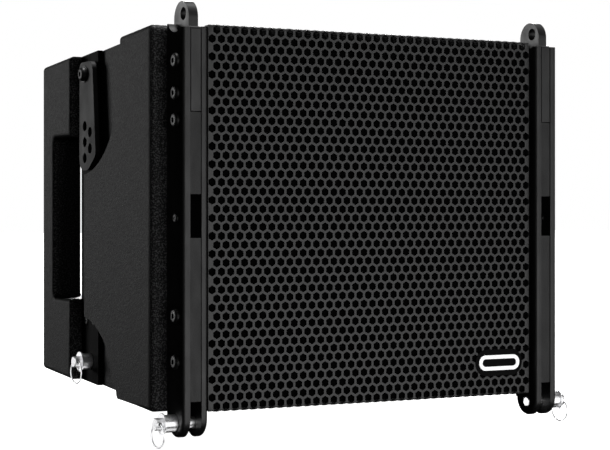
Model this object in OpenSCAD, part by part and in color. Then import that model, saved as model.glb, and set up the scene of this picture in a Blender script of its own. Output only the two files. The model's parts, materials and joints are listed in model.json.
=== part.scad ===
// Compact line array loudspeaker: coaxial driver in a tapered plywood box,
// with side rigging plates, lift-up rear links and quick-release pins.
// The part frame has its origin midway between the two front lug eyes,
// +X to the right seen from the front, +Y to the back, +Z up.

/* [Cabinet] */
// Width over the side cheeks
cab_w = 473.2; // [472:0.2:480]
// Height of the front face
cab_h = 376; // [375.4:0.2:376.4]
// Depth from the grille's face to the rear face
cab_d = 328.6; // [327:0.2:332]
// Slope of the top and bottom, degrees
taper = 3.95; // [3.5:0.05:4.2]
// Plywood thickness
wall_t = 15; // [14:0.5:15]
// Depth of the waist in each side, between cheek and rear corner
waist_d = 18.6; // [18:0.2:18.8]
// Front face of the rear corner blocks
corner_y = 244.7; // [243.7:0.5:246.2]

/* [Hand holds] */
// Height of each hand hold
hold_h = 173.8; // [150:0.2:180]
// Thickness of the grip post, front to back
post_d = 33.4; // [31:0.2:34]
// Width of the grip post
post_w = 33.5; // [31:0.1:34]
// Reach of the pocket from the middle of the cabinet
pocket_x = 165; // [160:1:170]
// Thickness of the pocket's walls
pocket_t = 9; // [8:0.5:10]

/* [Grille] */
// Width of the perforated grille
grille_w = 379; // [378:0.5:380]
// Height of the perforated grille
grille_h = 374.4; // [373.4:0.2:375]
// Depth of the folded edges
grille_d = 28.7; // [28.3:0.1:28.7]
// Thickness of the grille sheet
sheet_t = 1.5; // [1.2:0.1:1.8]
// Thickness of the foam behind the grille
foam_t = 8; // [6:1:9]
// Size of the badge, across and up
badge_size = [51, 16]; // [10:1:60]
// Centre of the badge, across and up from mid-height
badge_at = [150, -152.5]; // [-180:0.5:180]

/* [Driver] */
// Outer radius of the driver's flange
flange_r = 157.5; // [150:0.5:158]
// Radius of the voice coil
coil_r = 38.2; // [38:0.1:38.4]

/* [Front rigging] */
// Height between the lug eye and the fork hole of one cabinet
pitch = 394; // [394:1:396]
// Distance of the lug eyes behind the grille's face
lug_y = 10.7; // [10:0.1:11]
// Middle of the slot between the plates
slot_x = 205.65; // [205.5:0.05:205.8]
// Width of the slot
slot_w = 12; // [11.5:0.1:12.2]
// Thickness of the outer plate
outer_t = 7.8; // [7:0.1:8]
// Thickness of the inner plate
inner_t = 6.8; // [6:0.1:7.5]
// Depth of the plates, front to back
plate_w = 36.6; // [36:0.1:37]
// Thickness of the link bar
bar_t = 10; // [9:0.1:10.5]
// Radius of the lug eyes
eye_r = 6.3; // [6.2:0.05:6.5]

/* [Rear rigging] */
// Distance of the rear link's pivot behind the grille's face
pivot_y = 220.3; // [219.8:0.1:220.8]
// Height of the rear link's pivot above mid-height
pivot_z = 152.5; // [152:0.5:153]
// Thickness of the rear plate
rear_plate_t = 5; // [4.5:0.1:5]
// Thickness of the link
link_t = 5; // [4.5:0.1:5]
// Radius of the link's angle holes
link_hole_r = 5.35; // [5.2:0.05:5.5]
// Largest splay angle of the link, degrees
splay_max = 9.2; // [8:0.1:9.5]

/* [Pins] */
// Radius of the front pins
front_pin_r = 5.95; // [5.9:0.01:5.97]
// Radius of the rear pins
rear_pin_r = 5; // [4.9:0.01:5]
// Outer radius of the pull rings
ring_r = 12.5; // [11:0.5:13]
// Radius of the pull rings' wire
ring_wire_r = 0.8; // [0.7:0.05:0.9]

/* [Hidden] */

LEFT = -1;
RIGHT = 1;
far = 600;

coat = [0.06, 0.06, 0.065];
steel = [0.14, 0.14, 0.145];
black = [0.04, 0.04, 0.045];
chrome = [0.80, 0.81, 0.83];

lug_z = pitch / 2;
side_x = cab_w / 2;
waist_x = side_x - waist_d;
inner_x = waist_x - wall_t;
front_half_h = cab_h / 2;
baffle_y = lug_y + plate_w / 2;
baffle_t = 18;
rear_in_y = cab_d - wall_t;
grille_x = grille_w / 2;
badge_back_t = 0.8;
badge_t = 1.8;
rail_w = 8.5;
rail_y = 10;
rail_gap = 0.3;
outer_x0 = slot_x + slot_w / 2;
outer_x1 = outer_x0 + outer_t;
inner_x1 = slot_x - slot_w / 2;
inner_x0 = inner_x1 - inner_t;

// Rear edge of the cheeks: upper arc, straight middle, lower arc
cheek_mid_y = 203.2;
upper_arc = [211.7, 151, 105.9];
lower_arc = [214.1, -205.5, 102.3];
cheek_foot_z = -176.4;
cheek_top_y = upper_arc[0] - upper_arc[2];

// Baffle cut-outs
driver_hole_r = 142;
port_at = [150, 138];
port_r = 22;
port_wall = 2.5;
port_l = 90;

// Heights of the side screws, from mid-height
bar_screw_z = [151, 120];
spacer_screw_z = [94, -94, -138];
screw_y = 7;
screw_r = 4;
window_z = [-19, 23];
spacer_top_z = 101.6;
spacer_foot_z = -175.5;
bar_foot_z = 102.4;
rig_top_z = 188;
rig_step_z = 182.5;

// Rear link: splay geometry of two stacked cabinets
arm = norm([pivot_y - lug_y, lug_z - pivot_z]);
arm_angle = atan2(lug_z - pivot_z, pivot_y - lug_y);
splay_step = splay_max / 4;
link_offset = 14.7;

// Distance from pivot to pin at splay angle a
function reach(a) = 2 * arm * sin(arm_angle - a / 2);
column_step = (reach(0) - reach(splay_max)) / 2;
column_holes = [for (i = [0:2]) [0, -reach(0) + i * column_step]];
offset_holes = [
    for (a = [1, 3]) [-link_offset, -sqrt(pow(reach(a * splay_step), 2) - pow(link_offset, 2))]
];
link_x = waist_x + rear_plate_t + 1.1;
link_hub_r = 5.06;
rear_plate_y = 197.5;
nut_r = 9;
nut_l = 6;
socket_r = 8;

// Half height of the cabinet at depth y, less a wall of thickness t
function half_h(y, t = 0) = front_half_h - (y - baffle_y) * tan(taper) - t / cos(taper);

// Points along an arc about c from angle a0 to a1
function arc(c, r, a0, a1, n = 16) =
    [for (i = [0:n]) c + r * [cos(a0 + (a1 - a0) * i / n), sin(a0 + (a1 - a0) * i / n)]];

// ---------- helpers ----------

module to_part_frame() translate([0, -lug_y, -lug_z]) children();

module sided(side) if (side == LEFT) mirror([1, 0, 0]) children(); else children();

module both_sides() for (side = [LEFT, RIGHT]) sided(side) children();

module slab(lo, hi) translate(lo) cube(hi - lo);

// Extrudes a (y, z) outline from x0 to x1
module along_x(x0, x1) translate([x0, 0, 0]) rotate([90, 0, 90]) linear_extrude(x1 - x0) children();

// Extrudes an (x, y) outline from z0 to z1
module along_z(z0, z1) translate([0, 0, z0]) linear_extrude(z1 - z0) children();

// Turns a shape made about Z so that its axis runs to +Y
module about_y() rotate([-90, 0, 0]) children();

// Turns a shape made about Z so that its axis runs to +X
module about_x() rotate([0, 90, 0]) children();

module x_bore(y, z, r, x0, x1) translate([x0, y, z]) about_x() cylinder(h = x1 - x0, r = r, $fn = 64);

// Everything between the sloped top and bottom, less t of wall at each
module between_slopes(x0, x1, y0, y1, t = 0)
    along_x(x0, x1) polygon([
        [y0, -half_h(y0, t)], [y1, -half_h(y1, t)], [y1, half_h(y1, t)], [y0, half_h(y0, t)]
    ]);

// Button head screw about +Z with its head on z = 0 and its shank below
module button_screw(head_r, head_h, hex_r, shank_r, shank_l) {
    difference() {
        rotate_extrude($fn = 64) polygon(concat(
            [[0, -shank_l], [shank_r, -shank_l], [shank_r, 0], [head_r, 0], [head_r, head_h * 0.3]],
            [for (a = [15:15:75]) [
                head_r * (0.55 + 0.45 * cos(a)), head_h * (0.3 + 0.7 * sin(a))
            ]],
            [[head_r * 0.55, head_h], [0, head_h]]
        ));
        translate([0, 0, head_h * 0.35]) cylinder(h = head_h, r = hex_r, $fn = 6);
    }
}

// ---------- cabinet ----------

module sloped_panel(sign) {
    difference() {
        along_x(-waist_x, waist_x) polygon([
            [baffle_y, sign * half_h(baffle_y, wall_t)], [rear_in_y, sign * half_h(rear_in_y, wall_t)],
            [rear_in_y, sign * half_h(rear_in_y)], [baffle_y, sign * half_h(baffle_y)]
        ]);
        both_sides() x_bore(pivot_y, pivot_z, nut_r + 0.3, inner_x - nut_l - 1, inner_x);
        both_sides() x_bore(pivot_y, -pivot_z, socket_r + 0.05, inner_x - nut_l - 1, far);
    }
}

module top_panel() color(coat) to_part_frame() sloped_panel(1);

module bottom_panel() color(coat) to_part_frame() sloped_panel(-1);

module side_panel(side) to_part_frame() sided(side) difference() {
    between_slopes(inner_x, waist_x, baffle_y, rear_in_y, wall_t);
    slab([0, corner_y, -hold_h / 2], [far, far, hold_h / 2]);
    x_bore(pivot_y, pivot_z, 5.4, 0, far);
    x_bore(pivot_y, -pivot_z, socket_r + 0.05, 0, far);
    rear_plate_screw_places() cylinder(h = 60, r = 2.55, center = true, $fn = 32);
}

module side_panel_left() color(coat) side_panel(LEFT);

module side_panel_right() color(coat) side_panel(RIGHT);

module rear_panel() color(coat) to_part_frame() difference() {
    between_slopes(-waist_x, waist_x, rear_in_y, cab_d);
    both_sides() slab([pocket_x, 0, -hold_h / 2], [far, far, hold_h / 2]);
    slab([-dish_w / 2, rear_in_y - 1, dish_z - dish_h / 2], [dish_w / 2, cab_d + 1, dish_z + dish_h / 2]);
    slab(
        [-dish_w / 2 - dish_lip, cab_d - dish_deep, dish_z - dish_h / 2 - dish_lip],
        [dish_w / 2 + dish_lip, cab_d + 1, dish_z + dish_h / 2 + dish_lip]
    );
    plate_corners() cylinder(h = 24, r = 2.05, center = true, $fn = 32);
}

module baffle() color(coat) to_part_frame() difference() {
    between_slopes(-inner_x, inner_x, baffle_y, baffle_y + baffle_t, wall_t);
    translate([0, baffle_y - 1, 0]) about_y() cylinder(h = baffle_t + 2, r = driver_hole_r, $fn = 128);
    port_places() cylinder(h = port_l, r = port_r + port_wall, $fn = 64);
    driver_bolt_places() cylinder(h = 42, r = 2.55, $fn = 32);
}

// Side cheek: front part of the side, with the waist cut behind it
module front_cheek(side) to_part_frame() sided(side) difference() {
    upper_foot = acos((upper_arc[0] - cheek_mid_y) / upper_arc[2]);
    lower_top = acos((lower_arc[0] - cheek_mid_y) / lower_arc[2]);
    lower_foot = asin((cheek_foot_z - lower_arc[1]) / lower_arc[2]);
    foot_y = lower_arc[0] - lower_arc[2] * cos(lower_foot);
    foot_r = (cheek_foot_z + half_h(foot_y)) * cos(taper) / (1 - sin(taper));
    along_x(waist_x, side_x) polygon(concat(
        [[baffle_y, -half_h(baffle_y)], [baffle_y, half_h(baffle_y)], [cheek_top_y, half_h(cheek_top_y)]],
        arc([upper_arc[0], upper_arc[1]], upper_arc[2], 180, 180 + upper_foot, 24),
        arc([lower_arc[0], lower_arc[1]], lower_arc[2], 180 - lower_top, 180 - lower_foot, 24),
        arc([foot_y - foot_r, cheek_foot_z], foot_r, 0, taper - 90, 6)
    ));
    slab([0, rear_plate_y - 0.1, -far], [waist_x + rear_plate_t + 0.1, far, far]);
}

module front_cheek_left() color(coat) front_cheek(LEFT);

module front_cheek_right() color(coat) front_cheek(RIGHT);

// Rear corner: upper and lower block joined by the grip post
module rear_corner(side) to_part_frame() sided(side) {
    difference() {
        between_slopes(waist_x, side_x, corner_y, cab_d);
        slab([0, 0, -hold_h / 2], [far, cab_d - post_d, hold_h / 2]);
    }
    slab([side_x - post_w, cab_d - post_d, -hold_h / 2], [side_x - 1, cab_d, hold_h / 2]);
}

module rear_corner_left() color(coat) rear_corner(LEFT);

module rear_corner_right() color(coat) rear_corner(RIGHT);

// Pocket behind the grip post: inner, front, upper and lower wall
module handle_cup(side) to_part_frame() sided(side) difference() {
    reach_z = hold_h / 2 + pocket_t;
    slab([pocket_x - pocket_t, corner_y - pocket_t, -reach_z], [inner_x, rear_in_y, reach_z]);
    slab([pocket_x, corner_y, -hold_h / 2], [far, far, hold_h / 2]);
}

module handle_cup_left() color(coat) handle_cup(LEFT);

module handle_cup_right() color(coat) handle_cup(RIGHT);

module grille_rails() color(coat) to_part_frame() both_sides()
    slab([grille_x - sheet_t - rail_gap - rail_w, rail_y, sheet_t - grille_h / 2 + 0.7],
        [grille_x - sheet_t - rail_gap, baffle_y, grille_h / 2 - sheet_t - 0.7]);

// ---------- front ----------

// Folded sheet: the face with a flange back along all four edges
module grille() color([0.10, 0.10, 0.105]) to_part_frame() difference() {
    slab([-grille_x, 0, -grille_h / 2], [grille_x, grille_d, grille_h / 2]);
    slab([sheet_t - grille_x, sheet_t, sheet_t - grille_h / 2],
        [grille_x - sheet_t, far, grille_h / 2 - sheet_t]);
}

module grille_foam() color(black) to_part_frame()
    slab([sheet_t - grille_x + 0.5, sheet_t + 0.1, sheet_t - grille_h / 2 + 0.5],
        [grille_x - sheet_t - 0.5, sheet_t + foam_t, grille_h / 2 - sheet_t - 0.5]);

// Plain badge: a raised oblong ring on a backing plate
module badge() color([0.8, 0.8, 0.8]) to_part_frame()
    translate([badge_at[0], 0, badge_at[1]]) rotate([90, 0, 0]) {
        oblong(badge_size[0] + 8, badge_size[1] + 12, badge_back_t);
        difference() {
            oblong(badge_size[0], badge_size[1], badge_t);
            translate([0, 0, badge_back_t]) oblong(badge_size[0] - 8, badge_size[1] - 8, badge_t);
        }
    }

module oblong(w, h, t) linear_extrude(t) {
    square([w - h, h], center = true);
    for (s = [-1, 1]) translate([s * (w - h) / 2, 0]) circle(h / 2, $fn = 64);
}

// ---------- driver ----------

gasket_y = baffle_y - 1.5;
flange_y = gasket_y - 4;
frame_back_y = 108;
coil_y = [84, 118];
magnet_y = [116, 141];
hf_y = 151;

module port_places()
    for (sx = [-1, 1]) for (sz = [-1, 1])
        translate([sx * port_at[0], baffle_y - 1, sz * port_at[1]]) about_y() children();

module driver_bolt_places()
    for (i = [0:7]) rotate([0, 22.5 + 45 * i, 0]) translate([flange_r - 7, 0, 0]) about_y() children();

module basket() color([0.2, 0.2, 0.21]) to_part_frame() difference() {
    about_y() rotate_extrude($fn = 128) polygon([
        [flange_r, flange_y], [flange_r, gasket_y], [141, gasket_y], [141, 42], [86, 104],
        [86, frame_back_y], [40, frame_back_y], [40, 104], [82, 104], [137.5, 41], [137.5, flange_y]
    ]);
    for (i = [0:7]) rotate([0, 45 * i, 0]) slab([90, 47, -34], [150, 96, 34]);
    driver_bolt_places() cylinder(h = 60, r = 2.9, $fn = 32);
}

module driver_gasket() color(black) to_part_frame() about_y() difference() {
    translate([0, 0, gasket_y]) cylinder(h = 1.5, r = flange_r - 0.5, $fn = 128);
    cylinder(h = 60, r = driver_hole_r, $fn = 128);
    for (i = [0:7]) rotate(22.5 + 45 * i) translate([flange_r - 7, 0, 0]) cylinder(h = 60, r = 3, $fn = 32);
}

module driver_screws() color(black) to_part_frame() driver_bolt_places()
    translate([0, 0, flange_y]) mirror([0, 0, 1]) button_screw(5, 2.8, 1.7, 2.5, 18);

module cone() color([0.07, 0.07, 0.075]) to_part_frame() about_y() rotate_extrude($fn = 128) polygon([
    [coil_r + 0.2, 84], [coil_r + 1.6, 84], [82, 53], [125, 27.4], [125, 26], [80.8, 52], [coil_r + 0.2, 82]
]);

// Half-roll edge from the cone's rim to the frame's flange
module surround() color(black) to_part_frame() about_y() rotate_extrude($fn = 128) polygon(concat(
    [[122, 25.5], [122, 24.7]],
    arc([131.5, 23.3], 6.3, 180, 360, 16),
    [[145, 23.3], [145, 23.45]],
    arc([131.5, 23.3], 5.5, 360, 180, 16),
    [[126, 25.5]]
));

spider_r = [coil_r + 0.4, 88];
spider_waves = 4;
spider_steps = 8 * spider_waves;

function spider_rim(i, y) = [
    spider_r[0] + (spider_r[1] - spider_r[0]) * i / spider_steps,
    y + 1.6 * sin(360 * spider_waves * i / spider_steps)
];

module spider() color([0.55, 0.42, 0.22]) to_part_frame() about_y() rotate_extrude($fn = 96) polygon(concat(
    [for (i = [0:spider_steps]) spider_rim(i, 92)],
    [for (i = [spider_steps:-1:0]) spider_rim(i, 92.8)]
));

module voice_coil() color([0.72, 0.45, 0.2]) to_part_frame() about_y() difference() {
    translate([0, 0, coil_y[0]]) cylinder(h = coil_y[1] - coil_y[0], r = coil_r, $fn = 96);
    cylinder(h = 200, r = coil_r - 1, $fn = 96);
}

module top_plate() color(chrome) to_part_frame() about_y() difference() {
    translate([0, 0, frame_back_y]) cylinder(h = magnet_y[0] - frame_back_y, r = 80, $fn = 96);
    cylinder(h = 200, r = coil_r + 0.7, $fn = 96);
}

module magnet_ring() color([0.22, 0.22, 0.23]) to_part_frame() about_y() difference() {
    translate([0, 0, magnet_y[0]]) cylinder(h = magnet_y[1] - magnet_y[0], r = 90, $fn = 96);
    cylinder(h = 200, r = 45, $fn = 96);
}

module pole_piece() color(chrome) to_part_frame() about_y() rotate_extrude($fn = 96) polygon([
    [19, frame_back_y], [coil_r - 1.7, frame_back_y], [coil_r - 1.7, magnet_y[1]], [80, magnet_y[1]],
    [80, hf_y], [19, hf_y]
]);

module hf_horn() color(black) to_part_frame() about_y() rotate_extrude($fn = 96) polygon([
    [16.8, hf_y], [18.8, hf_y], [18.8, 108], [19.6, 96], [24, 84], [34.6, 72], [34.6, 70.6], [33, 70.6],
    [22.4, 83.2], [17.8, 96], [16.8, 108]
]);

module compression_driver() color([0.12, 0.12, 0.13]) to_part_frame() about_y() rotate_extrude($fn = 96)
    polygon([
        [0, hf_y + 6], [14, hf_y + 6], [14, hf_y], [43, hf_y], [43, 182], [38, 186], [36, 193], [30, 196],
        [0, 196]
    ]);

module port_tubes() color(black) to_part_frame() port_places() difference() {
    union() {
        translate([0, 0, -2]) cylinder(h = 3, r = port_r + 6, $fn = 64);
        cylinder(h = port_l, r = port_r + port_wall, $fn = 64);
    }
    translate([0, 0, -5]) cylinder(h = port_l + 10, r = port_r, $fn = 64);
}

// ---------- inside ----------

board_y = rear_in_y - 10;
wire_y = board_y - 18;
wire_r = 1.6;
elbow_r = 1.75;
board_z = [64, 140];
board_x = 75;

module crossover_board() color([0.1, 0.35, 0.15]) to_part_frame() {
    difference() {
        slab([-board_x, board_y, board_z[0]], [board_x, board_y + 1.6, board_z[1]]);
        board_corners() translate([0, 0, -5]) cylinder(h = 20, r = 1.8, $fn = 32);
    }
    board_corners() translate([0, 0, 1.6]) difference() {
        cylinder(h = rear_in_y - board_y - 1.6, r = 4, $fn = 6);
        translate([0, 0, -1]) cylinder(h = 20, r = 1.8, $fn = 32);
    }
}

module board_corners() for (x = [-1, 1]) for (z = [board_z[0] + 6, board_z[1] - 6])
    translate([x * (board_x - 6), board_y, z]) about_y() children();

module crossover_parts() color([0.75, 0.45, 0.2]) to_part_frame() {
    for (x = [-42, 2]) translate([x, board_y, 102]) mirror([0, 1, 0]) about_y() difference() {
        cylinder(h = 16, r = 19, $fn = 64);
        translate([0, 0, -1]) cylinder(h = 18, r = 9, $fn = 64);
    }
    for (z = [80, 102, 124]) translate([28, board_y - 8.5, z]) about_x() cylinder(h = 34, r = 8.4, $fn = 48);
}

// Wire through a list of points
module lead(points) for (i = [0:len(points) - 2]) {
    run = points[i + 1] - points[i];
    turn = atan2(run[1], run[0]);
    tilt = acos(run[2] / norm(run));
    translate(points[i]) rotate([0, tilt, turn]) cylinder(h = norm(run), r = wire_r, $fn = 24);
    if (i > 0) translate(points[i]) sphere(r = elbow_r, $fn = 24);
}

module internal_leads() color([0.6, 0.1, 0.08]) to_part_frame() {
    lead([
        [socket_x, dish_y - 24.2, dish_z], [socket_x, wire_y, dish_z], [68, wire_y, 20], [68, wire_y, 102],
        [68, board_y - 0.7, 102]
    ]);
    lead([[68, board_y - 0.7, 72], [68, 220, 66], [100, 160, 70], [100, 120, 66], [74, 106, 50]]);
    lead([[-60, board_y - 0.7, 72], [-60, 230, 50], [-46, 180, 20], [-44, 172, 16]]);
}

module damping_felt() color([0.6, 0.6, 0.58]) to_part_frame() {
    both_sides() slab([inner_x - 20, 60, -112], [inner_x - 0.5, 225, 112]);
    slab([-130, rear_in_y - 20, -146], [130, rear_in_y - 0.5, -100]);
}

// ---------- rear connector plate ----------

dish_w = 130;
dish_h = 62;
dish_lip = 10;
dish_deep = 6;
dish_z = -30;
dish_sheet = 3;
socket_x = 30;
dish_y = cab_d - dish_deep;

module socket_places() for (s = [-1, 1]) translate([s * socket_x, dish_y, dish_z]) about_y() children();

module plate_corners() for (sx = [-1, 1]) for (sz = [-1, 1])
    translate([sx * (dish_w / 2 + 4), dish_y + dish_sheet, dish_z + sz * (dish_h / 2 + 4)])
        about_y() children();

module connector_plate() color(steel) to_part_frame() difference() {
    slab([-dish_w / 2 - dish_lip + 0.3, dish_y, dish_z - dish_h / 2 - dish_lip + 0.3],
        [dish_w / 2 + dish_lip - 0.3, dish_y + dish_sheet, dish_z + dish_h / 2 + dish_lip - 0.3]);
    socket_places() cylinder(h = 20, r = 12.2, $fn = 64);
    plate_corners() translate([0, 0, -10]) cylinder(h = 20, r = 2.1, $fn = 32);
}

// Twist-lock sockets: flange, barrel, mouth with a middle post
module speaker_sockets() color(black) to_part_frame() socket_places() {
    difference() {
        union() {
            translate([-14, -16, dish_sheet]) cube([28, 32, 2.4]);
            translate([0, 0, -24]) cylinder(h = 27, r = 12, $fn = 64);
        }
        translate([0, 0, -14]) cylinder(h = 30, r = 9.8, $fn = 64);
    }
    translate([0, 0, -15]) cylinder(h = 18, r = 5.2, $fn = 48);
}

module connector_screws() color(black) to_part_frame() plate_corners()
    button_screw(3.6, 2, 1.2, 2, 9);

// ---------- front rigging ----------

// Plate with its long edge rounded, a round fork end and a scallop round the lug eye
module rig_plate(x0, x1, round_outer) {
    round_r = 3.2;
    fork_z = -lug_z + 4.5;
    plate_r = plate_w / 2;
    t = x1 - x0;
    edge_x = round_outer ? t - round_r : round_r;
    difference() {
        union() {
            along_z(fork_z, rig_top_z) translate([x0, lug_y - plate_r]) {
                translate([round_outer ? 0 : round_r, 0]) square([t - round_r, plate_w]);
                translate([0, round_r]) square([t, plate_w - round_r]);
                translate([edge_x, round_r]) circle(round_r, $fn = 32);
            }
            difference() {
                translate([x0, lug_y, fork_z]) about_x() mirror([0, 0, round_outer ? 0 : 1])
                    translate([0, 0, round_outer ? 0 : -t]) rotate_extrude($fn = 96) {
                        square([plate_r, t - round_r]);
                        square([plate_r - round_r, t]);
                        translate([plate_r - round_r, t - round_r]) circle(round_r, $fn = 32);
                    }
                slab([0, -far, fork_z], [far, far, far]);
            }
        }
        x_bore(lug_y, lug_z, plate_r, 0, far);
        slab([0, -far, rig_step_z], [far, lug_y - plate_r + 7, far]);
        x_bore(lug_y, -lug_z, front_pin_r + 0.05, 0, far);
        for (z = concat(bar_screw_z, spacer_screw_z)) x_bore(screw_y, z, screw_r + 0.05, 0, far);
        if (round_outer) x_bore(screw_y, 0, 3.05, 0, far);
    }
}

module outer_plate(side) to_part_frame() sided(side) rig_plate(outer_x0, outer_x1, true);

module outer_plate_left() color(steel) outer_plate(LEFT);

module outer_plate_right() color(steel) outer_plate(RIGHT);

module inner_plate(side) to_part_frame() sided(side) rig_plate(inner_x0, inner_x1, false);

module inner_plate_left() color(steel) inner_plate(LEFT);

module inner_plate_right() color(steel) inner_plate(RIGHT);

// Bar bolted between the plates, ending in the lug with its eye
module link_bar(side) to_part_frame() sided(side) {
    head = [15.2, lug_z - 4.2];
    head_r = 16.7;
    bar_y = [-7.4, 26];
    shoulder_z = 183.8;
    nose_r = 3;
    difference() {
        along_x(slot_x - bar_t / 2, slot_x + bar_t / 2) {
            translate([bar_y[0], bar_foot_z]) square([bar_y[1] - bar_y[0], shoulder_z - nose_r - bar_foot_z]);
            translate([bar_y[0] + nose_r, bar_foot_z])
                square([bar_y[1] - bar_y[0] - nose_r, shoulder_z - bar_foot_z]);
            translate([bar_y[0] + nose_r, shoulder_z - nose_r]) circle(nose_r, $fn = 32);
            translate(head) circle(head_r, $fn = 96);
            translate([head[0] - head_r, shoulder_z - 3]) square([2 * head_r, head[1] - shoulder_z + 3]);
        }
        x_bore(lug_y, lug_z, eye_r, 0, far);
        slab([0, baffle_y - 0.3, -far], [far, far, front_half_h + 0.4]);
        for (z = bar_screw_z) x_bore(screw_y, z, screw_r + 0.05, 0, far);
    }
}

module link_bar_left() color(steel) link_bar(LEFT);

module link_bar_right() color(steel) link_bar(RIGHT);

module slot_spacers() color(coat) to_part_frame() both_sides()
    for (span = [[window_z[1], spacer_top_z], [spacer_foot_z, window_z[0]]]) difference() {
        slab([slot_x - slot_w / 2 + 0.45, -6.8, span[0]], [slot_x + slot_w / 2 - 0.45, baffle_y, span[1]]);
        for (z = spacer_screw_z) x_bore(screw_y, z, screw_r + 0.05, 0, far);
    }

module rig_screws() color(black) to_part_frame() both_sides() {
    for (z = concat(bar_screw_z, spacer_screw_z)) translate([outer_x1, screw_y, z]) about_x()
        button_screw(7.5, 4.2, 2.9, screw_r, outer_x1 - inner_x0 - 1);
    translate([outer_x1, screw_y, 0]) about_x() {
        button_screw(4.75, 2.6, 1.8, 3, outer_t);
        translate([0, 0, -outer_t]) difference() {
            sphere(r = 3, $fn = 48);
            translate([-5, -5, 0]) cube(10);
        }
    }
}

// ---------- rear rigging ----------

module rear_plate(side) to_part_frame() sided(side) difference() {
    between_slopes(waist_x, waist_x + rear_plate_t, rear_plate_y, corner_y);
    x_bore(pivot_y, pivot_z, 5.06, 0, far);
    x_bore(pivot_y, -pivot_z, rear_pin_r + 0.05, 0, far);
    rear_plate_screw_places() cylinder(h = 60, r = 2.55, center = true, $fn = 32);
}

module rear_plate_screw_places() for (z = [30, -40, -110]) for (y = [209, 230])
    translate([waist_x + rear_plate_t, y, z]) about_x() children();

module rear_plate_left() color(steel) rear_plate(LEFT);

module rear_plate_right() color(steel) rear_plate(RIGHT);

// Rear link hanging from its pivot, with the splay angle holes
module rear_link(side) to_part_frame() sided(side) difference() {
    rear_edge = 15.6;
    top_edge = 13;
    front_top = -21.8;
    front_foot = -30.2;
    foot = -reach(0) - 13;
    translate([0, pivot_y, pivot_z]) along_x(link_x, link_x + link_t) polygon(concat(
        arc([rear_edge - 8, top_edge - 8], 8, 0, 90, 8),
        arc([front_top + 9, top_edge - 9], 9, 90, 176, 8),
        arc([front_foot + 9, foot + 19.5], 9, 184, 225, 6),
        arc([-4, foot + 13], 13, 232, 270, 6),
        arc([rear_edge - 13, foot + 13], 13, 270, 360, 10)
    ));
    x_bore(pivot_y, pivot_z, link_hub_r, 0, far);
    for (hole = concat(column_holes, offset_holes))
        x_bore(pivot_y + hole[0], pivot_z + hole[1], link_hole_r, 0, far);
}

module rear_link_left() color([0.2, 0.2, 0.205]) rear_link(LEFT);

module rear_link_right() color([0.2, 0.2, 0.205]) rear_link(RIGHT);

// Shoulder bolt with a washer each side of the link and a nut inside the cabinet
module pivot_bolts() color(steel) to_part_frame() both_sides() translate([0, pivot_y, pivot_z]) {
    washer_x = link_x + link_t + 0.3;
    translate([washer_x + 1.2, 0, 0]) about_x() button_screw(7.4, 4.3, 2.9, 5, washer_x - inner_x + nut_l);
    translate([waist_x + rear_plate_t, 0, 0]) about_x() washer(0.8);
    translate([washer_x, 0, 0]) about_x() washer(1.2);
    translate([inner_x - nut_l, 0, 0]) about_x() difference() {
        cylinder(h = nut_l, r = nut_r, $fn = 6);
        translate([0, 0, -1]) cylinder(h = nut_l + 2, r = 5.05, $fn = 48);
    }
}

module washer(t) difference() {
    cylinder(h = t, r = 8.6, $fn = 64);
    translate([0, 0, -1]) cylinder(h = t + 2, r = 5.05, $fn = 64);
}

module rear_pin_sockets() color(steel) to_part_frame() both_sides() translate([0, pivot_y, -pivot_z])
    about_x() difference() {
        translate([0, 0, inner_x - 3]) cylinder(h = wall_t + 3, r = socket_r, $fn = 64);
        cylinder(h = far, r = rear_pin_r + 0.05, $fn = 64);
    }

module rear_plate_screws() color(black) to_part_frame() both_sides() rear_plate_screw_places()
    button_screw(4.4, 1.1, 1.6, 2.5, 18);

// ---------- pins ----------

pin_flange_r = 10.5;
pin_collar_r = 8.5;
pin_head_r = 6;
front_collar = 13.3;
rear_collar = 11;
head_l = 7;
ring_hole_r = 2.1;
ring_hole_back = 3.4;
ring_drop = ring_r - ring_wire_r - 0.8;
ring_turn = 7;

// Quick-release pin about +X with its collar seated on x = 0
module quick_pin(shaft_r, shaft_l, collar_l) about_x() difference() {
    end = collar_l + 1.2 + head_l;
    rotate_extrude($fn = 64) polygon([
        [0, -shaft_l], [shaft_r - 1.8, -shaft_l], [shaft_r, -shaft_l + 2], [shaft_r, 0],
        [pin_collar_r - 0.4, 0], [pin_collar_r, 0.4], [pin_collar_r, collar_l], [pin_flange_r, collar_l],
        [pin_flange_r, collar_l + 1.2], [pin_head_r, collar_l + 1.2], [pin_head_r, end - 0.7],
        [pin_head_r - 0.7, end], [0, end]
    ]);
    translate([0, 0, end - ring_hole_back]) rotate([90, 0, 0])
        cylinder(h = 30, r = ring_hole_r, center = true, $fn = 48);
}

function ring_x(seat_x, collar_l) = seat_x + collar_l + 1.2 + head_l - ring_hole_back;

module pull_ring(side) rotate([0, 0, side * ring_turn]) translate([0, 0, -ring_drop]) about_x() rotate_extrude($fn = 96)
    translate([ring_r - ring_wire_r, 0]) circle(ring_wire_r, $fn = 24);

module front_pin(side) to_part_frame() sided(side)
    translate([outer_x1, lug_y, -lug_z]) quick_pin(front_pin_r, outer_x1 - inner_x0, front_collar);

module front_pin_left() color(chrome) front_pin(LEFT);

module front_pin_right() color(chrome) front_pin(RIGHT);

module rear_pin(side) to_part_frame() sided(side)
    translate([waist_x + rear_plate_t, pivot_y, -pivot_z]) quick_pin(rear_pin_r, 22, rear_collar);

module rear_pin_left() color(chrome) rear_pin(LEFT);

module rear_pin_right() color(chrome) rear_pin(RIGHT);

module front_ring(side) to_part_frame() sided(side)
    translate([ring_x(outer_x1, front_collar), lug_y, -lug_z]) pull_ring(side);

module front_ring_left() color(chrome) front_ring(LEFT);

module front_ring_right() color(chrome) front_ring(RIGHT);

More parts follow.
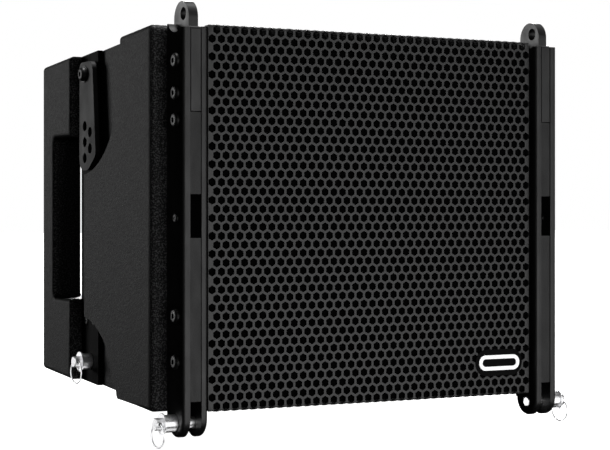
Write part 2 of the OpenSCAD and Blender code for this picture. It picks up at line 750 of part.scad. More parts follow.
module rear_ring(side) to_part_frame() sided(side)
    translate([ring_x(waist_x + rear_plate_t, rear_collar), pivot_y, -pivot_z]) pull_ring(side);

module rear_ring_left() color(chrome) rear_ring(LEFT);

module rear_ring_right() color(chrome) rear_ring(RIGHT);

// ---------- nodes ----------

top_panel();
bottom_panel();
side_panel_left();
side_panel_right();
rear_panel();
baffle();
front_cheek_left();
front_cheek_right();
rear_corner_left();
rear_corner_right();
handle_cup_left();
handle_cup_right();
grille_rails();
grille();
grille_foam();
badge();
basket();
driver_gasket();
driver_screws();
cone();
surround();
spider();
voice_coil();
top_plate();
magnet_ring();
pole_piece();
hf_horn();
compression_driver();
port_tubes();
crossover_board();
crossover_parts();
internal_leads();
damping_felt();
connector_plate();
speaker_sockets();
connector_screws();
outer_plate_left();
outer_plate_right();
inner_plate_left();
inner_plate_right();
link_bar_left();
link_bar_right();
slot_spacers();
rig_screws();
rear_plate_left();
rear_plate_right();
rear_link_left();
rear_link_right();
pivot_bolts();
rear_pin_sockets();
rear_plate_screws();
front_pin_left();
front_pin_right();
rear_pin_left();
rear_pin_right();
front_ring_left();
front_ring_right();
rear_ring_left();
rear_ring_right();
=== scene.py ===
import json
import math

import bmesh
import bpy
from mathutils import Matrix, Vector, noise


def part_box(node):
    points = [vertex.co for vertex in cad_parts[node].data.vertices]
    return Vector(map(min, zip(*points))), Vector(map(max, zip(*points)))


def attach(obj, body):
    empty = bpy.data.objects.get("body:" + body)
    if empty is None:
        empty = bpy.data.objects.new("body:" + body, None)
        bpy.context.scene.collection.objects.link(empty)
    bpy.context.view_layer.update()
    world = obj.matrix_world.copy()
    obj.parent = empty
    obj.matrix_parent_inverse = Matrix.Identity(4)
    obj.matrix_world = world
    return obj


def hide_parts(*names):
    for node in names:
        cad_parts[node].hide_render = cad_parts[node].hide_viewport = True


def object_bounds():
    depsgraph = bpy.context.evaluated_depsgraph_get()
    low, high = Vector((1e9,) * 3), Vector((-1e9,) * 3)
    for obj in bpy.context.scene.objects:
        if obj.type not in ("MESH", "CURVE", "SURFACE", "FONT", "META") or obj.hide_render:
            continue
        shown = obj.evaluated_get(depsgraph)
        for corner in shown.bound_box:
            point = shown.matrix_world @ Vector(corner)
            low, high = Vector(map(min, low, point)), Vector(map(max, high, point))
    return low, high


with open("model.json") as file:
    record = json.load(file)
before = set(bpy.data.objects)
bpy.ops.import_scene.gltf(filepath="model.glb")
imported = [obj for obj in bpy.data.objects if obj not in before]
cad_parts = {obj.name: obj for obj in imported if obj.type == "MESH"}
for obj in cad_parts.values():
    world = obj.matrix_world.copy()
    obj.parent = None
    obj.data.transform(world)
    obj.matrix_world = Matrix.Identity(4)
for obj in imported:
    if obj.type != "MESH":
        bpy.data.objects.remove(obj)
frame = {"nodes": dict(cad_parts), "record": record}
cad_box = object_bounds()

MM = 0.001
WELD = 0.02 * MM
FADE = 4 * MM
nodes = frame["nodes"]
scene = bpy.context.scene
SIDES = ("left", "right")
middle_z = (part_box("top_panel")[1][2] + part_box("bottom_panel")[0][2]) / 2


# ---------- small helpers ----------

def new_object(name, bm, materials, smooth=None):
    mesh = bpy.data.meshes.new(name)
    bm.to_mesh(mesh)
    bm.free()
    obj = bpy.data.objects.new(name, mesh)
    scene.collection.objects.link(obj)
    for m in materials:
        mesh.materials.append(m)
    if smooth is not None:
        smooth_by_angle(mesh, smooth)
    return obj


def smooth_by_angle(mesh, degrees):
    mesh.polygons.foreach_set("use_smooth", [True] * len(mesh.polygons))
    mesh.set_sharp_from_angle(angle=math.radians(degrees))


def with_modifiers_applied(obj):
    dg = bpy.context.evaluated_depsgraph_get()
    mesh = bpy.data.meshes.new_from_object(obj.evaluated_get(dg))
    obj.modifiers.clear()
    obj.data = mesh
    return obj


def centre(node):
    lo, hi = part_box(node)
    return (Vector(lo) + Vector(hi)) / 2


def both(*names):
    """The left and right node of each name."""
    return [f"{n}_{side}" for n in names for side in SIDES]


def split(bm, at, normal, keep_outer=True):
    """Cuts the mesh along a plane, and drops what lies past it unless that is kept."""
    bmesh.ops.bisect_plane(bm, geom=bm.verts[:] + bm.edges[:] + bm.faces[:],
                           plane_co=at, plane_no=normal, clear_outer=not keep_outer)


# ---------- materials ----------

class Look:
    """A Principled material and short ways to add nodes to it."""

    def __init__(self, name, colour, roughness, **sockets):
        self.mat = bpy.data.materials.new(name)
        self.mat.use_nodes = True
        self.tree = self.mat.node_tree
        self.bsdf = next(n for n in self.tree.nodes if n.type == "BSDF_PRINCIPLED")
        self.coords = self.tree.nodes.new("ShaderNodeTexCoord").outputs["Object"]
        self.bsdf.inputs["Base Color"].default_value = (*colour, 1)
        self.bsdf.inputs["Roughness"].default_value = roughness
        for key, value in sockets.items():
            self.bsdf.inputs[key.replace("_", " ")].default_value = value

    def link(self, a, b):
        self.tree.links.new(a, b)

    def noise(self, scale, detail=2.0, roughness=0.5, stretch=None):
        n = self.tree.nodes.new("ShaderNodeTexNoise")
        n.inputs["Scale"].default_value = scale
        n.inputs["Detail"].default_value = detail
        n.inputs["Roughness"].default_value = roughness
        self.link(self.stretched(stretch), n.inputs["Vector"])
        return n.outputs["Fac"]

    def cells(self, scale):
        n = self.tree.nodes.new("ShaderNodeTexVoronoi")
        n.inputs["Scale"].default_value = scale
        self.link(self.coords, n.inputs["Vector"])
        return n.outputs["Distance"]

    def stretched(self, stretch):
        if stretch is None:
            return self.coords
        n = self.tree.nodes.new("ShaderNodeMapping")
        n.inputs["Scale"].default_value = stretch
        self.link(self.coords, n.inputs["Vector"])
        return n.outputs["Vector"]

    def math(self, op, a, b):
        n = self.tree.nodes.new("ShaderNodeMath")
        n.operation = op
        for socket, value in zip(n.inputs, (a, b)):
            if isinstance(value, (int, float)):
                socket.default_value = value
            else:
                self.link(value, socket)
        return n.outputs[0]

    def span(self, value, a, b, lo, hi):
        n = self.tree.nodes.new("ShaderNodeMapRange")
        self.link(value, n.inputs["Value"])
        for key, v in (("From Min", a), ("From Max", b), ("To Min", lo), ("To Max", hi)):
            n.inputs[key].default_value = v
        return n.outputs["Result"]

    def colours(self, value, *stops):
        n = self.tree.nodes.new("ShaderNodeValToRGB")
        ramp = n.color_ramp
        while len(ramp.elements) < len(stops):
            ramp.elements.new(0.5)
        for e, (at, colour) in zip(ramp.elements, stops):
            e.position = at
            e.color = (*colour, 1)
        self.link(value, n.inputs["Fac"])
        self.link(n.outputs["Color"], self.bsdf.inputs["Base Color"])

    def rough(self, value):
        self.link(value, self.bsdf.inputs["Roughness"])

    def along(self, kind, axis):
        """One axis of the object's position or normal."""
        n = self.tree.nodes.new("ShaderNodeSeparateXYZ")
        self.link(self.coords.node.outputs[kind], n.inputs[0])
        return n.outputs[axis]

    def near(self, kind, axis, at, reach):
        """1 well within reach of a position on one axis, fading to 0 at reach."""
        away = self.math("ABSOLUTE", self.math("SUBTRACT", self.along(kind, axis), at), 0)
        return self.span(away, reach, reach - FADE, 0, 1)

    def bump(self, height, strength, distance):
        n = self.tree.nodes.new("ShaderNodeBump")
        n.inputs["Strength"].default_value = strength
        n.inputs["Distance"].default_value = distance
        self.link(height, n.inputs["Height"])
        self.link(n.outputs["Normal"], self.bsdf.inputs["Normal"])


def grey(v, tint=0.0):
    return (v, v, v * (1 + tint))


# Half sizes of the pocket zone that gets painted glints.
GLINT_ZONE_X = 206 * MM
GLINT_ZONE_Z = 100 * MM


def coat_look():
    """Textured coating: fine grain, with coarse light speckles painted on front faces and in the pockets as
    painted glints of light on the bumps.
    """
    k = Look("cabinet_coat", grey(0.01), 0.6, Specular_IOR_Level=0.2)
    fine = k.noise(760, 3, 0.6)
    coarse = k.noise(640, 1.5, 0.5)
    broad = k.noise(7, 3, 0.5)
    height = k.math("ADD", fine, k.math("MULTIPLY", coarse, 1.2))
    tone = k.math("ADD", k.math("MULTIPLY", fine, 0.7), k.math("MULTIPLY", broad, 0.3))
    pocket_x = k.near("Object", "X", 0, GLINT_ZONE_X)
    pocket_z = k.near("Object", "Z", middle_z, GLINT_ZONE_Z)
    in_pocket = k.math("MULTIPLY", pocket_x, pocket_z)
    facing_front = k.span(k.along("Normal", "Y"), -0.3, -0.8, 0, 1)
    not_facing_rear = k.span(k.along("Normal", "Y"), 0.6, 0.3, 0, 0.6)
    glint_mask = k.math("MAXIMUM", facing_front, k.math("MULTIPLY", in_pocket, not_facing_rear))
    # Painted glints: the coarse light speckles in the base colour stand for glints of light on the bumps, not for
    # a colour of the coat.
    painted_glints = k.math("MULTIPLY", k.span(coarse, 0.44, 0.66, 0, 1), glint_mask)
    k.colours(k.math("ADD", k.span(tone, 0.35, 0.68, 0, 0.3), k.math("MULTIPLY", painted_glints, 0.7)),
              (0.0, grey(0.0075)), (0.15, grey(0.0105, 0.03)),
              (0.3, grey(0.015, 0.04)), (1.0, grey(0.13, 0.02)))
    k.rough(k.span(coarse, 0.3, 0.7, 0.62, 0.48))
    k.bump(height, 0.4, 0.0007)
    return k.mat


def paint_look(name, low, high, rough_lo, rough_hi, spec, grain=1500, strength=0.22, scuff=True):
    k = Look(name, grey(low), rough_lo, Specular_IOR_Level=spec)
    fine = k.noise(grain, 2, 0.6)
    broad = k.noise(24, 4, 0.6)
    tone = k.math("ADD", k.math("MULTIPLY", fine, 0.5), k.math("MULTIPLY", broad, 0.5))
    k.colours(tone, (0.35, grey(low)), (0.65, grey(high, 0.02)))
    if scuff:
        marks = k.noise(60, 6, 0.75, (1, 1, 0.35))
        k.rough(k.span(marks, 0.35, 0.68, rough_lo, rough_hi))
    else:
        k.rough(k.span(fine, 0.3, 0.7, rough_lo, rough_hi))
    k.bump(fine, strength, 0.0002)
    return k.mat


def metal_look(name, colour, rough_lo, rough_hi, strength):
    k = Look(name, colour, rough_lo, Metallic=1.0)
    lines = k.noise(900, 3, 0.6)
    dull = k.noise(70, 4, 0.6)
    darker = tuple(c * 0.86 for c in colour)
    k.colours(dull, (0.35, darker), (0.6, colour))
    k.rough(k.span(k.math("ADD", lines, k.math("MULTIPLY", dull, 0.5)), 0.55, 0.95, rough_lo, rough_hi))
    k.bump(lines, strength, 0.0001)
    return k.mat


def foam_look():
    k = Look("acoustic_foam", grey(0.002), 0.95, Specular_IOR_Level=0.05, Sheen_Weight=0.02)
    pores = k.cells(520)
    k.colours(pores, (0.1, grey(0.0006)), (0.8, grey(0.0032)))
    k.bump(pores, 0.8, 0.0012)
    return k.mat


def felt_look():
    k = Look("wadding", grey(0.4), 0.95, Specular_IOR_Level=0.1, Sheen_Weight=0.3)
    fibres = k.noise(420, 6, 0.75, (1, 1, 2.6))
    k.colours(fibres, (0.3, (0.30, 0.30, 0.28)), (0.7, (0.56, 0.56, 0.53)))
    k.bump(fibres, 0.9, 0.0015)
    return k.mat


def cone_look():
    k = Look("cone_paper", grey(0.02), 0.7, Specular_IOR_Level=0.3)
    pulp = k.noise(260, 6, 0.7)
    k.colours(pulp, (0.3, grey(0.012)), (0.7, grey(0.035)))
    k.bump(pulp, 0.5, 0.0006)
    return k.mat


def rubber_look():
    k = Look("soft_black", grey(0.012), 0.6, Specular_IOR_Level=0.35)
    dust = k.noise(190, 5, 0.65)
    k.colours(dust, (0.3, grey(0.009)), (0.75, grey(0.02)))
    k.rough(k.span(dust, 0.3, 0.7, 0.5, 0.75))
    k.bump(dust, 0.25, 0.0003)
    return k.mat


def plastic_look(name, low, high):
    k = Look(name, grey(low), 0.4, Specular_IOR_Level=0.45)
    grain = k.cells(1100)
    k.colours(k.noise(40, 4), (0.3, grey(low)), (0.7, grey(high)))
    k.rough(k.span(grain, 0.0, 0.8, 0.34, 0.5))
    k.bump(grain, 0.25, 0.0002)
    return k.mat


def cloth_look():
    k = Look("spider_cloth", (0.5, 0.36, 0.16), 0.75, Specular_IOR_Level=0.3)
    weave = k.cells(900)
    k.colours(weave, (0.1, (0.30, 0.20, 0.08)), (0.7, (0.56, 0.42, 0.2)))
    k.bump(weave, 0.6, 0.0004)
    return k.mat


def wire_look():
    k = Look("coil_copper", (0.62, 0.3, 0.12), 0.3, Metallic=0.85)
    turns = k.noise(500, 2, 0.5, (1, 6, 1))
    k.colours(turns, (0.3, (0.42, 0.18, 0.06)), (0.7, (0.72, 0.38, 0.16)))
    k.bump(turns, 0.5, 0.0004)
    return k.mat


def board_look():
    k = Look("circuit_board", (0.02, 0.12, 0.04), 0.35)
    tracks = k.cells(180)
    k.colours(tracks, (0.35, (0.012, 0.09, 0.03)), (0.5, (0.03, 0.17, 0.06)))
    k.bump(tracks, 0.2, 0.0002)
    return k.mat


def badge_glow_look():
    # Emission adds a painted glow: the badge mark gives off a little light of its own though it is no lamp.
    k = Look("badge_glowing_mark", (0.86, 0.86, 0.86), 0.35, Specular_IOR_Level=0.6,
             Emission_Color=(1, 1, 1, 1), Emission_Strength=0.12)
    brush = k.noise(700, 3, 0.6, (0.12, 1, 1))
    k.colours(brush, (0.3, grey(0.80)), (0.7, grey(0.93)))
    k.bump(brush, 0.08, 0.0001)
    return k.mat


coat = coat_look()
plate_paint = paint_look("rig_steel", 0.014, 0.023, 0.36, 0.5, 0.5)
# A near-black copy of the rig steel for the rear plates: painted shade for the shadow that lies on them in the
# side recess.
rear_steel_painted_shade = paint_look("rear_plate_painted_shade", 0.002, 0.004, 0.55, 0.65, 0.04)
link_paint = paint_look("link_steel", 0.009, 0.013, 0.5, 0.62, 0.25, strength=0.15)
grille_paint = paint_look("grille_paint", 0.029, 0.033, 0.42, 0.5, 0.6, strength=0.05, scuff=False)
# A lighter copy of the coat for the slot spacers: painted light, as the spacers stand lit while the coat beside
# them is shaded.
spacers_painted_light = paint_look("spacer_coat_painted_light", 0.016, 0.034, 0.5, 0.62, 0.5, grain=900, strength=0.5)
screw_paint = paint_look("screw_black", 0.007, 0.012, 0.4, 0.5, 0.35, grain=2200, strength=0.1)
backing = paint_look("badge_backing", 0.001, 0.003, 0.8, 0.9, 0.05, scuff=False)
frame_paint = paint_look("driver_frame", 0.03, 0.05, 0.4, 0.55, 0.5)
chrome = metal_look("pin_chrome", (0.86, 0.86, 0.87), 0.27, 0.36, strength=0)
zinc = metal_look("zinc_plate", (0.56, 0.56, 0.54), 0.25, 0.45, strength=0.15)
ferrite = paint_look("ferrite", 0.05, 0.08, 0.6, 0.75, 0.3, grain=700, strength=0.5, scuff=False)
foam = foam_look()
felt = felt_look()
paper = cone_look()
rubber = rubber_look()
plastic = plastic_look("moulded_plastic", 0.012, 0.02)
cloth = cloth_look()
wire = wire_look()
board = board_look()
bright = badge_glow_look()

LOOKS = {
    "cabinet_coat": coat, "grille_paint": grille_paint, "acoustic_foam": foam, "badge_metal": bright,
    "driver_frame": frame_paint, "soft_black": rubber, "screw_black": screw_paint, "cone_paper": paper,
    "spider_cloth": cloth, "coil_copper": wire, "zinc_plate": zinc, "ferrite": ferrite,
    "moulded_plastic": plastic, "circuit_board": board, "wadding": felt, "rig_steel": plate_paint,
    "link_steel": link_paint, "pin_chrome": chrome,
}
for row in frame["record"]["subparts"]:
    obj = nodes[row["node"]]
    obj.data.materials.clear()
    obj.data.materials.append(LOOKS[row["material_slot"]])
# The slot spacers wear the lighter copy of the coat, which paints in the light on them.
nodes["slot_spacers"].data.materials[0] = spacers_painted_light
# The rear plates wear the darker copy of the steel, which paints in their shade.
for side in SIDES:
    nodes["rear_plate_" + side].data.materials[0] = rear_steel_painted_shade


# ---------- softened edges on the metalwork ----------

def soften(names, width_mm):
    """Rounds the sharp edges of CAD nodes in the render, through a modifier."""
    for name in names:
        m = nodes[name].modifiers.new("edge", "BEVEL")
        m.width = width_mm * MM
        m.segments = 2
        m.limit_method = "ANGLE"
        m.angle_limit = math.radians(35)
        m.use_clamp_overlap = True
        m.harden_normals = True


soften(both("outer_plate", "inner_plate"), 0.5)
soften(both("link_bar"), 0.7)
soften(both("rear_link", "rear_plate"), 0.4)
soften(["slot_spacers"], 0.5)
soften(["rig_screws", "pivot_bolts"], 0.25)
soften(["connector_plate"], 0.4)


# ---------- cabinet: one coated shell ----------

SHELL = ["top_panel", "bottom_panel", "rear_panel", "baffle"] + both(
    "side_panel", "front_cheek", "rear_corner", "handle_cup"
)


def joined_shell(names):
    """One closed solid out of the cabinet's CAD panels."""
    parts = []
    for name in names:
        part = nodes[name].copy()
        part.data = nodes[name].data.copy()
        part.parent = None
        part.matrix_world = Matrix.Identity(4)
        part.modifiers.clear()
        scene.collection.objects.link(part)
        parts.append(part)
    base = parts[0]
    for part in parts[1:]:
        m = base.modifiers.new("join", "BOOLEAN")
        m.operation = "UNION"
        m.solver = "EXACT"
        m.object = part
    bpy.context.view_layer.update()
    dg = bpy.context.evaluated_depsgraph_get()
    mesh = bpy.data.meshes.new_from_object(base.evaluated_get(dg))
    for part in parts:
        bpy.data.objects.remove(part, do_unlink=True)
    return mesh


def half_at(y):
    """Half height of the tapered cabinet at depth y."""
    share = (y - top_lo.y) / (top_hi.y - top_lo.y)
    return (top_hi.z - middle_z) - share * (top_hi.z - top_back_z)


ROUNDING = 7 * MM
LARGE_FACE = 600 * MM ** 2
FULL, USUAL, SLOPE, DISH, SHARP = 1.0, 0.7, 0.3, 0.2, 0.0
SHARP_FROM = math.radians(24)
POST_SETBACK = 30 * MM
DISH_HALF = 90 * MM
CUP_WALL = 9 * MM


def edge_weight(e):
    """Share of the full rounding that an edge gets. Most inside edges stay sharp."""
    if len(e.link_faces) != 2 or e.calc_face_angle(0) < SHARP_FROM:
        return SHARP
    a, b = (v.co for v in e.verts)
    mid = (a + b) / 2
    x = abs(mid.x)
    beside_pocket = abs(mid.z - middle_z) < hold_half + MM
    if not e.is_convex:
        behind_post = min(a.y, b.y) > corner_front + POST_SETBACK and x > inner_half - MM
        return USUAL if behind_post and beside_pocket else SHARP
    on_side = min(abs(a.x), abs(b.x)) > side_half - 1.2 * MM
    on_slope = all(abs(abs(v.z - middle_z) - half_at(v.y)) < 0.4 * MM for v in (a, b))
    on_front = max(a.y, b.y) < front_y + 0.5 * MM
    on_back = min(a.y, b.y) > back_y - 0.5 * MM
    if on_front:
        if on_side:
            return FULL
        return USUAL if x > inner_half + 0.5 * MM or on_slope else SHARP
    if on_back:
        return DISH if x < DISH_HALF and not on_slope else USUAL
    if on_side:
        long_enough = e.calc_length() > 3 * MM
        return USUAL if long_enough and (on_slope or mid.y > corner_front - 0.5 * MM) else SHARP
    if mid.y > corner_front + POST_SETBACK and x > pocket_half - MM and beside_pocket:
        return USUAL
    if x > waist_half + 2 * MM:
        return USUAL if mid.y > corner_front + MM else SHARP
    if on_slope and x > waist_half - 0.5 * MM:
        return SLOPE
    return SHARP


top_lo, top_hi = map(Vector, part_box("top_panel"))
panel_lo, panel_hi = map(Vector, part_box("side_panel_right"))
inner_half = panel_lo.x
waist_half = panel_hi.x
side_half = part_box("front_cheek_right")[1][0]
cup_lo, cup_hi = map(Vector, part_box("handle_cup_right"))
pocket_half = cup_lo.x + CUP_WALL
hold_half = (cup_hi.z - cup_lo.z) / 2 - CUP_WALL
corner_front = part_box("rear_corner_right")[0][1]
top_back_z = max(v.co.z for v in nodes["top_panel"].data.vertices if v.co.y > top_hi.y - MM)
front_y = panel_lo.y
back_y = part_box("rear_panel")[1][1]
shell_mesh = joined_shell(SHELL)
shell_mesh.attributes.remove(shell_mesh.attributes["custom_normal"])
bm = bmesh.new()
bm.from_mesh(shell_mesh)
bmesh.ops.remove_doubles(bm, verts=bm.verts, dist=WELD)
bmesh.ops.dissolve_limit(bm, angle_limit=math.radians(0.6), verts=bm.verts, edges=bm.edges)
weight = bm.edges.layers.float.new("bevel_weight_edge")
for e in bm.edges:
    e[weight] = edge_weight(e)
shell = new_object("cabinet_shell", bm, [coat])
m = shell.modifiers.new("edge", "BEVEL")
m.limit_method = "WEIGHT"
m.width = ROUNDING
m.segments = 8
m.use_clamp_overlap = False
m.miter_outer = "MITER_ARC"
shell = with_modifiers_applied(shell)
smooth_by_angle(shell.data, 32)
for p in shell.data.polygons:
    p.use_smooth = p.area < LARGE_FACE
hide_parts(*SHELL)
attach(shell, "cabinet")


# ---------- grille ----------

PITCH = 10 * MM
ROW = PITCH * math.sqrt(3) / 2
HOLE = 7.6 * MM
ROWS = 24
FULL_ROW = 19
UNPIERCED_FROM = 18.6 * PITCH
SHEET = 1.5 * MM


def hexagon(x, z, flats):
    r = flats / math.sqrt(3)
    angles = [math.radians(60 * i + 30) for i in range(6)]
    return [(x + r * math.cos(a), z + r * math.sin(a)) for a in angles]


def perforated_sheet():
    """The flat pattern: x across, z up, as one web of hexagonal cells."""
    bm = bmesh.new()
    for row in range(-ROWS, ROWS + 1):
        z = row * ROW
        shift = 0 if row % 2 else 0.5
        for col in range(-FULL_ROW - 1, FULL_ROW + 1):
            x = (col + shift) * PITCH
            outer = [bm.verts.new((px, 0, pz)) for px, pz in hexagon(x, z, PITCH)]
            if abs(x) > UNPIERCED_FROM:
                bm.faces.new(outer)
                continue
            inner = [bm.verts.new((px, 0, pz)) for px, pz in hexagon(x, z, HOLE)]
            for i in range(6):
                j = (i + 1) % 6
                bm.faces.new((outer[i], outer[j], inner[j], inner[i]))
    bmesh.ops.remove_doubles(bm, verts=bm.verts, dist=WELD)
    return bm


def rim(bm, axis, value):
    return [e for e in bm.edges if e.is_boundary and all(abs(v.co[axis] - value) < 1e-6 for v in e.verts)]


def fold_side(bm, x_edge, radius, depth, z_limit):
    """Bends a plain flange back along one upright edge."""
    sign = 1 if x_edge > 0 else -1
    edges = [e for e in rim(bm, 0, x_edge) if max(abs(v.co.z) for v in e.verts) < z_limit]
    bend = (math.pi / 6, math.pi / 3, math.pi / 2)
    steps = [(radius * math.sin(a), radius * (1 - math.cos(a))) for a in bend]
    steps.append((radius, depth))
    for dx, dy in steps:
        made = bmesh.ops.extrude_edge_only(bm, edges=edges)["geom"]
        for v in (g for g in made if isinstance(g, bmesh.types.BMVert)):
            v.co.x, v.co.y = x_edge + sign * dx, dy
        edges = [g for g in made if isinstance(g, bmesh.types.BMEdge) and all(
            abs(v.co.y - dy) < 1e-7 for v in g.verts)]


grille_lo, grille_hi = map(Vector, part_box("grille"))
half_w = (grille_hi.x - grille_lo.x) / 2
half_h = (grille_hi.z - grille_lo.z) / 2
depth = grille_hi.y - grille_lo.y
SIDE_R = 0.6 * MM
END_R = 2.0 * MM
CORNER = 5 * MM
bm = perforated_sheet()
side_cut = half_w - SIDE_R
end_cut = half_h - END_R + END_R * math.pi / 2 + depth - END_R
for sign in (-1, 1):
    split(bm, (sign * side_cut, 0, 0), (sign, 0, 0), keep_outer=False)
    split(bm, (0, 0, sign * end_cut), (0, 0, sign), keep_outer=False)
for line in (half_h - END_R, half_h - END_R + END_R * math.pi / 4, half_h - END_R + END_R * math.pi / 2):
    for sign in (-1, 1):
        split(bm, (0, 0, sign * line), (0, 0, 1))
for f in [f for f in bm.faces if abs(f.calc_center_median().z) > half_h - CORNER * 0.2
          and abs(f.calc_center_median().x) > half_w - CORNER]:
    bm.faces.remove(f)
for v in [v for v in bm.verts if not v.link_faces]:
    bm.verts.remove(v)
for e in [e for e in bm.edges if not e.link_faces]:
    bm.edges.remove(e)
for sign in (-1, 1):
    fold_side(bm, sign * side_cut, SIDE_R, depth, half_h - CORNER)
for v in bm.verts:
    w = abs(v.co.z) - (half_h - END_R)
    if w > 0 and v.co.y == 0:
        sign = 1 if v.co.z > 0 else -1
        a = min(w / END_R, math.pi / 2)
        v.co.y = END_R * (1 - math.cos(a)) + max(0, w - END_R * math.pi / 2)
        v.co.z = sign * (half_h - END_R + END_R * math.sin(a))
bmesh.ops.recalc_face_normals(bm, faces=bm.faces)
if next(f for f in bm.faces if abs(f.normal.y) > 0.9).normal.y > 0:
    bmesh.ops.reverse_faces(bm, faces=bm.faces)
for v in bm.verts:
    v.co += Vector((0, grille_lo.y, middle_z))
grille = new_object("grille_perforated", bm, [grille_paint])
m = grille.modifiers.new("sheet", "SOLIDIFY")
m.thickness = SHEET
m.offset = -1
grille = with_modifiers_applied(grille)
smooth_by_angle(grille.data, 38)
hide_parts("grille")
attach(grille, "cabinet")


# ---------- foam and wadding ----------

def soft_slab(name, lo, hi, look, cell, wave, seed):
    """Rounded pad that fills its CAD solid, with a slightly uneven surface."""
    lo, hi = Vector(lo), Vector(hi)
    size = hi - lo
    bm = bmesh.new()
    bmesh.ops.create_cube(bm, size=1.0)
    for v in bm.verts:
        v.co = lo + Vector(((v.co[i] + 0.5) * size[i] for i in range(3)))
    for axis in range(3):
        n = max(1, min(60, int(size[axis] / cell)))
        for i in range(1, n):
            at = lo.copy()
            at[axis] = lo[axis] + size[axis] * i / n
            normal = Vector((0, 0, 0))
            normal[axis] = 1
            split(bm, at, normal)
    mid = (lo + hi) / 2
    for v in bm.verts:
        edge = min(min(v.co[i] - lo[i], hi[i] - v.co[i]) for i in range(3) if size[i] > 3 * min(size))
        thin = min(range(3), key=lambda i: size[i])
        pull = wave * (0.35 + 0.65 * noise.noise(v.co * 42 + Vector((seed, 0, 0))) ** 2)
        if edge < cell * 0.5:
            pull += wave
        v.co[thin] += pull * (1 if v.co[thin] < mid[thin] else -1)
    obj = new_object(name, bm, [look], smooth=70)
    m = obj.modifiers.new("round", "SUBSURF")
    m.levels = m.render_levels = 1
    return with_modifiers_applied(obj)


pad = soft_slab("grille_foam_pad", *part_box("grille_foam"), foam, 9 * MM, 0.8 * MM, 1.0)
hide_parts("grille_foam")
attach(pad, "cabinet")


def loose_boxes(node):
    """Corner points of each separate solid of a node."""
    bm = bmesh.new()
    bm.from_mesh(nodes[node].data)
    bmesh.ops.remove_doubles(bm, verts=bm.verts, dist=0.00001)
    left, boxes = set(bm.verts), []
    while left:
        stack, island = [left.pop()], []
        while stack:
            v = stack.pop()
            island.append(nodes[node].matrix_world @ v.co)
            for e in v.link_edges:
                other = e.other_vert(v)
                if other in left:
                    left.remove(other)
                    stack.append(other)
        lo, hi = ([pick(p[i] for p in island) for i in range(3)] for pick in (min, max))
        boxes.append((lo, hi))
    bm.free()
    return sorted(boxes)


bm = bmesh.new()
for i, (lo, hi) in enumerate(loose_boxes("damping_felt")):
    piece = soft_slab(f"wadding_{i}", lo, hi, felt, 14 * MM, 1.2 * MM, 3.0 + i)
    bm.from_mesh(piece.data)
    bpy.data.objects.remove(piece, do_unlink=True)
wadding = new_object("wadding_pads", bm, [felt], smooth=70)
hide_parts("damping_felt")
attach(wadding, "cabinet")


# ---------- badge ----------

END_STEPS = 20
BACKING = 0.8 * MM
SUNK = 0.1 * MM


def oblong_ring(bm, cx, cz, w, h, y0, y1, index, hole=None):
    """Oblong from y0 back to y1, solid or with an oblong hole, its front edges eased."""
    def outline(width, height, y):
        r = height / 2
        pts = []
        for side, start in ((1, -90), (-1, 90)):
            for i in range(END_STEPS + 1):
                a = math.radians(start + 180 * i / END_STEPS)
                px = cx + side * (width / 2 - r) + r * math.cos(a)
                pts.append(bm.verts.new((px, y, cz + r * math.sin(a))))
        return pts

    ease = 0.25 * MM
    loops = [outline(w, h, y1), outline(w, h, y0 + ease), outline(w - 2 * ease, h - 2 * ease, y0)]
    if hole:
        loops += [outline(hole[0] + 2 * ease, hole[1] + 2 * ease, y0), outline(hole[0], hole[1], y0 + ease),
                  outline(hole[0], hole[1], y1)]
    made = []
    for a, b in zip(loops, loops[1:]):
        n = len(a)
        made += [bm.faces.new((a[i], a[(i + 1) % n], b[(i + 1) % n], b[i])) for i in range(n)]
    if not hole:
        made.append(bm.faces.new(loops[-1]))
        made.append(bm.faces.new(loops[0][::-1]))
    for f in made:
        f.material_index = index


badge_lo, badge_hi = map(Vector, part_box("badge"))
badge_w, badge_h = badge_hi.x - badge_lo.x, badge_hi.z - badge_lo.z
badge_c = centre("badge")
bm = bmesh.new()
oblong_ring(bm, badge_c.x, badge_c.z, badge_w, badge_h, badge_hi.y - BACKING, badge_hi.y, index=0)
oblong_ring(bm, badge_c.x, badge_c.z, badge_w - 8 * MM, badge_h - 12 * MM, badge_lo.y, badge_hi.y - BACKING + SUNK,
            hole=(badge_w - 16 * MM, badge_h - 20 * MM), index=1)
bmesh.ops.recalc_face_normals(bm, faces=bm.faces)
badge = new_object("badge_plain", bm, [backing, bright], smooth=30)
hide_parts("badge")
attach(badge, "cabinet")


# ---------- camera, floor and light ----------

CAMERA_AT = (-0.9227, -1.5474, -0.19483)
CAMERA_FACES = (0.47954, 0.87752, 0)
LENS_MM = 104.17

camera = bpy.data.cameras.new("camera")
camera.sensor_width = 36
camera.lens = LENS_MM
camera.shift_y = -0.015
camera.clip_start = 0.05
camera.clip_end = 60
cam = bpy.data.objects.new("camera", camera)
scene.collection.objects.link(cam)
cam.location = CAMERA_AT
cam.rotation_euler = Vector(CAMERA_FACES).to_track_quat("-Z", "Y").to_euler()
scene.camera = cam

floor_z = cad_box[0].z
bm = bmesh.new()
bmesh.ops.create_grid(bm, x_segments=1, y_segments=1, size=20)
for v in bm.verts:
    v.co.z = floor_z
floor_look = Look("floor", grey(0.5), 0.9, Specular_IOR_Level=0.0,
                  Emission_Color=(1, 1, 1, 1), Emission_Strength=1.0)
floor = new_object("floor", bm, [floor_look.mat])
floor.visible_diffuse = False
floor.visible_glossy = False

world = bpy.data.worlds.new("world")
scene.world = world
world.use_nodes = True
background = world.node_tree.nodes["Background"]
background.inputs["Color"].default_value = (1, 1, 1, 1)
background.inputs["Strength"].default_value = 1.0
world.cycles_visibility.diffuse = False
world.cycles_visibility.glossy = False
scene.view_settings.view_transform = "Standard"

middle = (Vector(cad_box[0]) + Vector(cad_box[1])) / 2


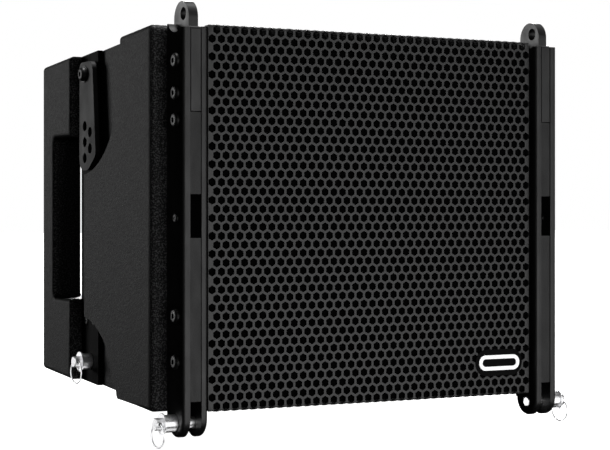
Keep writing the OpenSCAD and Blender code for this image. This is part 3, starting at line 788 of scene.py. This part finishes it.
def softbox(name, direction, distance, width, height, radiance, only=None):
    """Panel light aimed at the middle of the object; only= limits it to the pieces of one collection."""
    light = bpy.data.lights.new(name, "AREA")
    light.shape = "RECTANGLE"
    light.size = width
    light.size_y = height
    light.energy = radiance * math.pi * width * height
    obj = bpy.data.objects.new(name, light)
    scene.collection.objects.link(obj)
    obj.location = middle + Vector(direction).normalized() * distance
    obj.rotation_euler = (middle - obj.location).to_track_quat("-Z", "Y").to_euler()
    obj.visible_camera = False
    if only:
        obj.light_linking.receiver_collection = only


def far_light(name, direction, strength, angle):
    """Sun lamp that shines from a direction, angle degrees wide."""
    light = bpy.data.lights.new(name, "SUN")
    light.energy = strength
    light.angle = math.radians(angle)
    obj = bpy.data.objects.new(name, light)
    scene.collection.objects.link(obj)
    obj.location = middle + Vector(direction) * 3
    obj.rotation_euler = (-Vector(direction)).to_track_quat("-Z", "Y").to_euler()
    return obj


# The key makes the reflection on the left side. It skips the front plates, which are dark in the photo.
key = far_light("key", (-0.588, 0.809, 0.05), 0.78, 24)
far_light("above", (0.08, 0.05, 1), 4, 12)
far_light("behind", (0.5, 0.84, 0.25), 5, 20)
unlit = bpy.data.collections.new("shaded_rig")
for name in both("outer_plate", "inner_plate"):
    unlit.objects.link(nodes[name])
for item in unlit.collection_objects:
    item.light_linking.link_state = "EXCLUDE"
key.light_linking.receiver_collection = unlit
softbox("front", (0.25, -0.95, -0.15), 2.0, 2.2, 1.8, 1.8)
softbox("near camera", (-0.42, -0.91, 0.0), 2.4, 0.5, 1.6, 0.5)
softbox("left", (-1, -0.5, 0.1), 1.8, 1.4, 1.4, 0.045)

# Panels that light only the pins, rings and badge.
shiny = bpy.data.collections.new("shiny")
for name in both("front_pin", "rear_pin", "front_ring", "rear_ring"):
    shiny.objects.link(nodes[name])
shiny.objects.link(badge)
for name, direction in (("left", (-1, 0.1, 0.1)), ("ahead", (-0.45, -1, 0.05)), ("right", (1, -0.5, 0)),
                        ("above", (-0.1, -0.2, 1)), ("below", (-0.2, -0.2, -1))):
    softbox("shine_" + name, direction, 1.6, 1.9, 1.9, 1.2, only=shiny)
